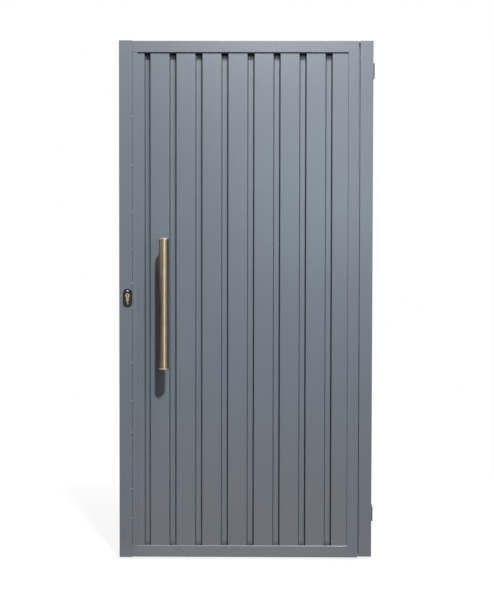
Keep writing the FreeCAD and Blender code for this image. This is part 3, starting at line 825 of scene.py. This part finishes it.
def make_keyway_painted_shade():
    """Painted shade inside a plug's keyway, behind its face."""
    group, given, result = new_group(
        "keyway painted shade",
        [
            ("Colour", "NodeSocketColor", (0.4, 0.3, 0.2, 1)),
            ("Keyway Shade Colour", "NodeSocketColor", (0.012, 0.01, 0.009, 1)),
            ("Face", "NodeSocketFloat", 0.0),
        ],
        [("Colour", "NodeSocketColor")],
    )
    split = add_split(group, group.nodes.new("ShaderNodeTexCoord").outputs["Object"])
    from_face = add_math(group, "SUBTRACT", split.outputs["Y"], given.outputs["Face"])
    depth = add_math(group, "ABSOLUTE", from_face, 0.0)
    mask = add_range(group, depth, over=(0.0003, 0.0008), gives=(0.0, 1.0))
    mixed = add_mix(group, mask, given.outputs["Colour"], given.outputs["Keyway Shade Colour"])
    group.links.new(mixed, result.inputs["Colour"])
    return group


keyway_shade = make_keyway_painted_shade()
for name, side in (("front_cylinder_plug", 0), ("back_cylinder_plug", 1)):
    plug_brass = brushed_metal(
        name + " brass", colour=(0.46, 0.355, 0.25, 1), stretch=(1.0, 1.0, 1.0),
        fineness=2600.0, gloss=0.28, depth=0.05, contrast=0.06,
    )
    # painted shade in the keyway
    lay_over(plug_brass, keyway_shade, Face=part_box(name)[side].y)
    finish_nodes(plug_brass, name)
plate_steel = brushed_metal(
    "edge plate steel", colour=(0.52, 0.52, 0.5, 1), stretch=(1.0, 1.0, 0.012),
    fineness=5200.0, gloss=0.33, depth=0.05, contrast=0.05,
)
finish_nodes(plate_steel, "lock_faceplate", "lock_bolt", "lock_case")

# Screws of the lock: domed heads with a cross recess, painted dark inside as shade. Two clamp each
# cover plate, two hold the edge plate and one holds the cylinder. They are nickel-plated steel, but
# below each cylinder they take a darker brass, as painted shade.

screw_head_radius = 0.0037
screw_head_height = 0.0018
dome_height = screw_head_height * 0.8
recess_length = 0.0046
recess_width = 0.0012
recess_depth = 0.0012
recess_margin = 0.0002
recess_shade_colour = (0.02, 0.018, 0.016, 1)
bpy.ops.object.select_all(action="DESELECT")
bpy.ops.mesh.primitive_cylinder_add(vertices=40, radius=screw_head_radius, depth=screw_head_height)
screw_head = bpy.context.object
screw_head.name = "screw_head"
pick_edges(screw_head, lambda end: end.z > 0)
bpy.ops.mesh.bevel(offset=dome_height, segments=5, profile=0.5, affect="EDGES")
bpy.ops.object.mode_set(mode="OBJECT")
head_top = screw_head_height / 2
for across, along in ((recess_width, recess_length), (recess_length, recess_width)):
    bpy.ops.object.select_all(action="DESELECT")
    bpy.ops.mesh.primitive_cube_add(size=1.0, location=(0, 0, head_top))
    slot_block = bpy.context.object
    bpy.ops.transform.resize(value=(across, along, 2 * recess_depth), center_override=(0, 0, head_top))
    bpy.ops.object.transform_apply(location=True, rotation=True, scale=True)
    bpy.context.view_layer.objects.active = screw_head
    sunk = screw_head.modifiers.new("recess", "BOOLEAN")
    sunk.object = slot_block
    sunk.operation = "DIFFERENCE"
    sunk.solver = "EXACT"
    bpy.ops.object.modifier_apply(modifier="recess")
    bpy.data.objects.remove(slot_block)
bpy.ops.object.select_all(action="DESELECT")
screw_head.select_set(True)
bpy.context.view_layer.objects.active = screw_head
bpy.ops.object.shade_smooth_by_angle(angle=math.radians(35))
# faces inside the recess are marked for painted shade
recess_mark = screw_head.data.attributes.new("recess", "FLOAT", "FACE")
recess_reach = recess_length / 2 + recess_margin
recess_top = head_top * 0.9
for face in screw_head.data.polygons:
    near_middle = math.hypot(face.center.x, face.center.y) < recess_reach
    recess_mark.data[face.index].value = float(near_middle and abs(face.center.z) < recess_top)


def screw_metal(name, colour):
    """Metal of a screw, with painted shade inside the recess of its head."""
    material = brushed_metal(
        name, colour=colour, stretch=(1.0, 1.0, 1.0),
        fineness=500.0, gloss=0.25, depth=0.08, contrast=0.08,
    )
    tree = material.node_tree
    shader = tree.nodes["Principled BSDF"]
    bare = shader.inputs["Base Color"].links[0].from_socket
    inside = tree.nodes.new("ShaderNodeAttribute")
    inside.attribute_name = "recess"
    darkened = add_mix(tree, inside.outputs["Fac"], bare, recess_shade_colour)
    tree.links.new(darkened, shader.inputs["Base Color"])
    return material


# the lower screws' darker brass is painted shade
screw_nickel = screw_metal("screw nickel", (0.55, 0.53, 0.5, 1))
screw_shade_brass = screw_metal("screw brass with painted shade", (0.42, 0.34, 0.235, 1))
cover_low, cover_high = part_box("front_escutcheon")
back_cover_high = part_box("back_escutcheon")[1]
plate_low, plate_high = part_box("lock_faceplate")
cylinder_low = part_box("cylinder_body")[0]
lock_x = (cover_low.x + cover_high.x) / 2
lock_z = (cover_low.z + cover_high.z) / 2
cover_screw_offset = 0.0237
cover_screw_twist = 0.5
cover_screw_sunk = 0.0004
face_front = Matrix.Rotation(math.pi / 2, 4, "X")
face_back = Matrix.Rotation(-math.pi / 2, 4, "X")
face_side = Matrix.Rotation(-math.pi / 2, 4, "Y")
seat = screw_head_height / 2 - cover_screw_sunk
cover_screw_rows = (
    ("upper_cover_screws", 1, screw_nickel, "zinc_steel"),
    ("lower_cover_screws", -1, screw_shade_brass, "cylinder_brass"),
)
for name, sign, metal, slot in cover_screw_rows:
    height = lock_z + sign * cover_screw_offset
    twist = Matrix.Rotation(cover_screw_twist * sign, 4, "Z")
    front = Matrix.Translation((lock_x, cover_low.y - seat, height)) @ face_front @ twist
    back = Matrix.Translation((lock_x, back_cover_high.y + seat, height)) @ face_back @ twist
    pair = [copy_to(screw_head, name, front), copy_to(screw_head, name, back)]
    finish_piece(join_copies(name, pair), metal, "door_leaf")
plate_middle_y = (plate_low.y + plate_high.y) / 2
plate_screw_inset = 0.009
plate_screw_sunk = 0.0006
fixing_screw_rise = 0.008
edge_screw_heights = (
    plate_high.z - plate_screw_inset,
    plate_low.z + plate_screw_inset,
    cylinder_low.z + fixing_screw_rise,
)
edge_screws = []
for height in edge_screw_heights:
    side = Matrix.Translation((plate_low.x + plate_screw_sunk, plate_middle_y, height))
    twist = Matrix.Rotation(height, 4, "Z")
    edge_screws.append(copy_to(screw_head, "edge_screw", side @ face_side @ twist))
finish_piece(join_copies("edge_plate_screws", edge_screws), screw_nickel, "door_leaf")
bpy.data.objects.remove(screw_head)

# Butt hinges: stamped steel leaves with rolled eyes, one leaf welded to the hinge tube and painted
# with it, the other for the post. Their paint is a little darker than the leaf's, as painted shade.
# Bare steel pins are riveted over at both ends.

# darker paint: painted shade on the hinge leaves
hinge_shade_paint = painted_steel(
    "hinge paint with painted shade", colour=(0.16, 0.178, 0.2, 1), worn=(0.36, 0.37, 0.38, 1),
    gloss=0.45, shade_change=0.05, dust=0.2,
)
finish_nodes(
    hinge_shade_paint,
    "lower_hinge_fixed_leaf", "lower_hinge_moving_leaf",
    "upper_hinge_fixed_leaf", "upper_hinge_moving_leaf",
)
pin_steel = brushed_metal(
    "pin steel", colour=(0.45, 0.45, 0.45, 1), stretch=(1.0, 1.0, 1.0),
    fineness=300.0, gloss=0.4, depth=0.15, contrast=0.1,
)
finish_nodes(pin_steel, "lower_hinge_pin", "upper_hinge_pin")

# Hinge welds: thin steel beads above and below each moving leaf, laid along the side of the hinge
# tube where the leaf lies against it, and painted over with the hinge.

slim = Matrix.Diagonal((0.85, 0.6, 0.6, 1.0))
lie_along = Matrix.Rotation(math.pi / 2, 4, "Z")
weld_forward = 0.002
weld_clear = 0.0002
weld_proud = 0.0003
hinge_welds = []
for level in ("lower", "upper"):
    leaf_low, leaf_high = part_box(level + "_hinge_moving_leaf")
    middle_y = (leaf_low.y + hinge_tube_high.y) / 2 - weld_forward
    for height in (leaf_low.z - weld_clear, leaf_high.z + weld_clear):
        on_tube = Matrix.Translation((hinge_tube_high.x + weld_proud, middle_y, height))
        hinge_welds.append(copy_to(long_bead, "hinge_weld", on_tube @ lie_along @ slim))
finish_piece(join_copies("hinge_welds", hinge_welds), hinge_shade_paint, "door_leaf")
bpy.data.objects.remove(long_bead)
bpy.data.objects.remove(short_bead)

# Stage: a plain pale floor just below the leaf, white surroundings, a lamp high in front to the
# right, soft lamps above, beside, below and behind, and the camera of the photograph.

floor_gap = 0.008
floor_size = 60.0
floor_tone_lit = 0.1
floor_tone_seen = 0.9
floor_glow_near = 0.86
floor_shade_reach = (0.9, 2.4)
fill_strength = 0.02
fill_colour = (0.96, 0.98, 1, 1)


def add_sight(tree):
    """One where a ray comes from the camera, straight, mirrored or through glass."""
    rays = tree.nodes.new("ShaderNodeLightPath")
    mirrored = add_math(tree, "MAXIMUM", rays.outputs["Is Camera Ray"], rays.outputs["Is Glossy Ray"])
    return add_math(tree, "MAXIMUM", mirrored, rays.outputs["Is Transmission Ray"])


def blend_shaders(tree, share, first, second, output):
    """Two shaders mixed by a share, into the output."""
    blend = tree.nodes.new("ShaderNodeMixShader")
    tree.links.new(share, blend.inputs[0])
    tree.links.new(first.outputs[0], blend.inputs[1])
    tree.links.new(second.outputs[0], blend.inputs[2])
    tree.links.new(blend.outputs[0], output.inputs["Surface"])


bpy.ops.object.select_all(action="DESELECT")
bpy.ops.mesh.primitive_plane_add(size=floor_size, location=(0.0, 0.0, cad_low.z - floor_gap))
floor = bpy.context.object
floor.name = "floor"
bpy.ops.object.transform_apply(location=True, rotation=True, scale=True)
floor_white = bpy.data.materials.new("floor white")
floor_white.use_nodes = True
tree = floor_white.node_tree
tree.nodes.clear()
camera_ray = tree.nodes.new("ShaderNodeLightPath").outputs["Is Camera Ray"]
tone = add_range(tree, camera_ray, over=(0.0, 1.0), gives=(floor_tone_lit, floor_tone_seen))
matt = tree.nodes.new("ShaderNodeBsdfDiffuse")
tree.links.new(tone, matt.inputs["Color"])
glow = tree.nodes.new("ShaderNodeEmission")
glow.inputs["Strength"].default_value = 1.0
from_leaf = tree.nodes.new("ShaderNodeVectorMath")
from_leaf.operation = "DISTANCE"
tree.links.new(tree.nodes.new("ShaderNodeTexCoord").outputs["Object"], from_leaf.inputs[0])
from_leaf.inputs[1].default_value = ((cad_low.x + cad_high.x) / 2, 0.0, cad_low.z)
shaded = add_range(tree, from_leaf.outputs["Value"], over=floor_shade_reach, gives=(floor_glow_near, 1.0))
glow_share = add_math(tree, "MULTIPLY", add_sight(tree), shaded)
blend_shaders(tree, glow_share, matt, glow, tree.nodes.new("ShaderNodeOutputMaterial"))
floor.data.materials.append(floor_white)

world = bpy.data.worlds.new("white surroundings")
bpy.context.scene.world = world
world.use_nodes = True
tree = world.node_tree
tree.nodes.clear()
fill = tree.nodes.new("ShaderNodeBackground")
fill.inputs["Strength"].default_value = fill_strength
fill.inputs["Color"].default_value = fill_colour
white = tree.nodes.new("ShaderNodeBackground")
white.inputs["Strength"].default_value = 1.0
white.inputs["Color"].default_value = (1, 1, 1, 1)
blend_shaders(tree, add_sight(tree), fill, white, tree.nodes.new("ShaderNodeOutputWorld"))


def add_lamp(name, place, aim, size, power, colour):
    """A square soft lamp aimed at a point."""
    data = bpy.data.lights.new(name, "AREA")
    data.size = size
    data.energy = power
    data.color = colour
    lamp = bpy.data.objects.new(name, data)
    bpy.context.scene.collection.objects.link(lamp)
    lamp.location = place
    lamp.rotation_euler = (Vector(aim) - Vector(place)).to_track_quat("-Z", "Y").to_euler()


handle_middle = (handle_low + handle_high) / 2
front_lamp_distance = 20.0
to_lamp = Vector((0.345, -1.0, 1.55)).normalized() * front_lamp_distance
add_lamp(
    "front lamp", place=handle_middle + to_lamp, aim=handle_middle,
    size=1.1, power=4690.0, colour=(0.91, 0.975, 1),
)
add_lamp(
    "top lamp", place=(-0.375, -0.5, 2.4), aim=(-0.39, 0.0, 1.5),
    size=0.4, power=9.8, colour=(1, 0.9, 0.83),
)
add_lamp(
    "side lamp", place=(-0.06, -0.8, 1.3), aim=(-0.16, 0.0, 1.3),
    size=0.5, power=2.5, colour=(0.86, 0.96, 1),
)
add_lamp(
    "back lamp", place=(-2.6, 5.0, 3.2), aim=(-0.49, 0.0, 0.85),
    size=3.0, power=250.0, colour=(0.95, 0.98, 1),
)
add_lamp(
    "hinge edge lamp", place=(4.5, 2.5, 2.2), aim=(0.0, 0.0, 0.85),
    size=2.0, power=150.0, colour=(0.97, 0.99, 1),
)
add_lamp(
    "low lamp", place=(-0.5, -1.6, 0.15), aim=(-0.5, 0.0, -0.1),
    size=0.7, power=1.5, colour=(1, 0.77, 0.7),
)

picture_height = 593
focal_length_in_pixels = 1089.54
camera_place = (-0.4574, -4.225, 0.962)
camera_turn = 0.0076
camera_tilt = 0.0278
camera_roll = 0.0019
camera_data = bpy.data.cameras.new("camera")
camera_data.sensor_fit = "VERTICAL"
camera_data.sensor_height = 36.0
camera_data.lens = focal_length_in_pixels / picture_height * camera_data.sensor_height
camera = bpy.data.objects.new("camera", camera_data)
bpy.context.scene.collection.objects.link(camera)
camera.matrix_world = (
    Matrix.Translation(camera_place)
    @ Matrix.Rotation(camera_turn, 4, "Z")
    @ Matrix.Rotation(math.pi / 2 - camera_tilt, 4, "X")
    @ Matrix.Rotation(camera_roll, 4, "Z")
)
bpy.context.scene.camera = camera
bpy.context.scene.view_settings.view_transform = "Standard"
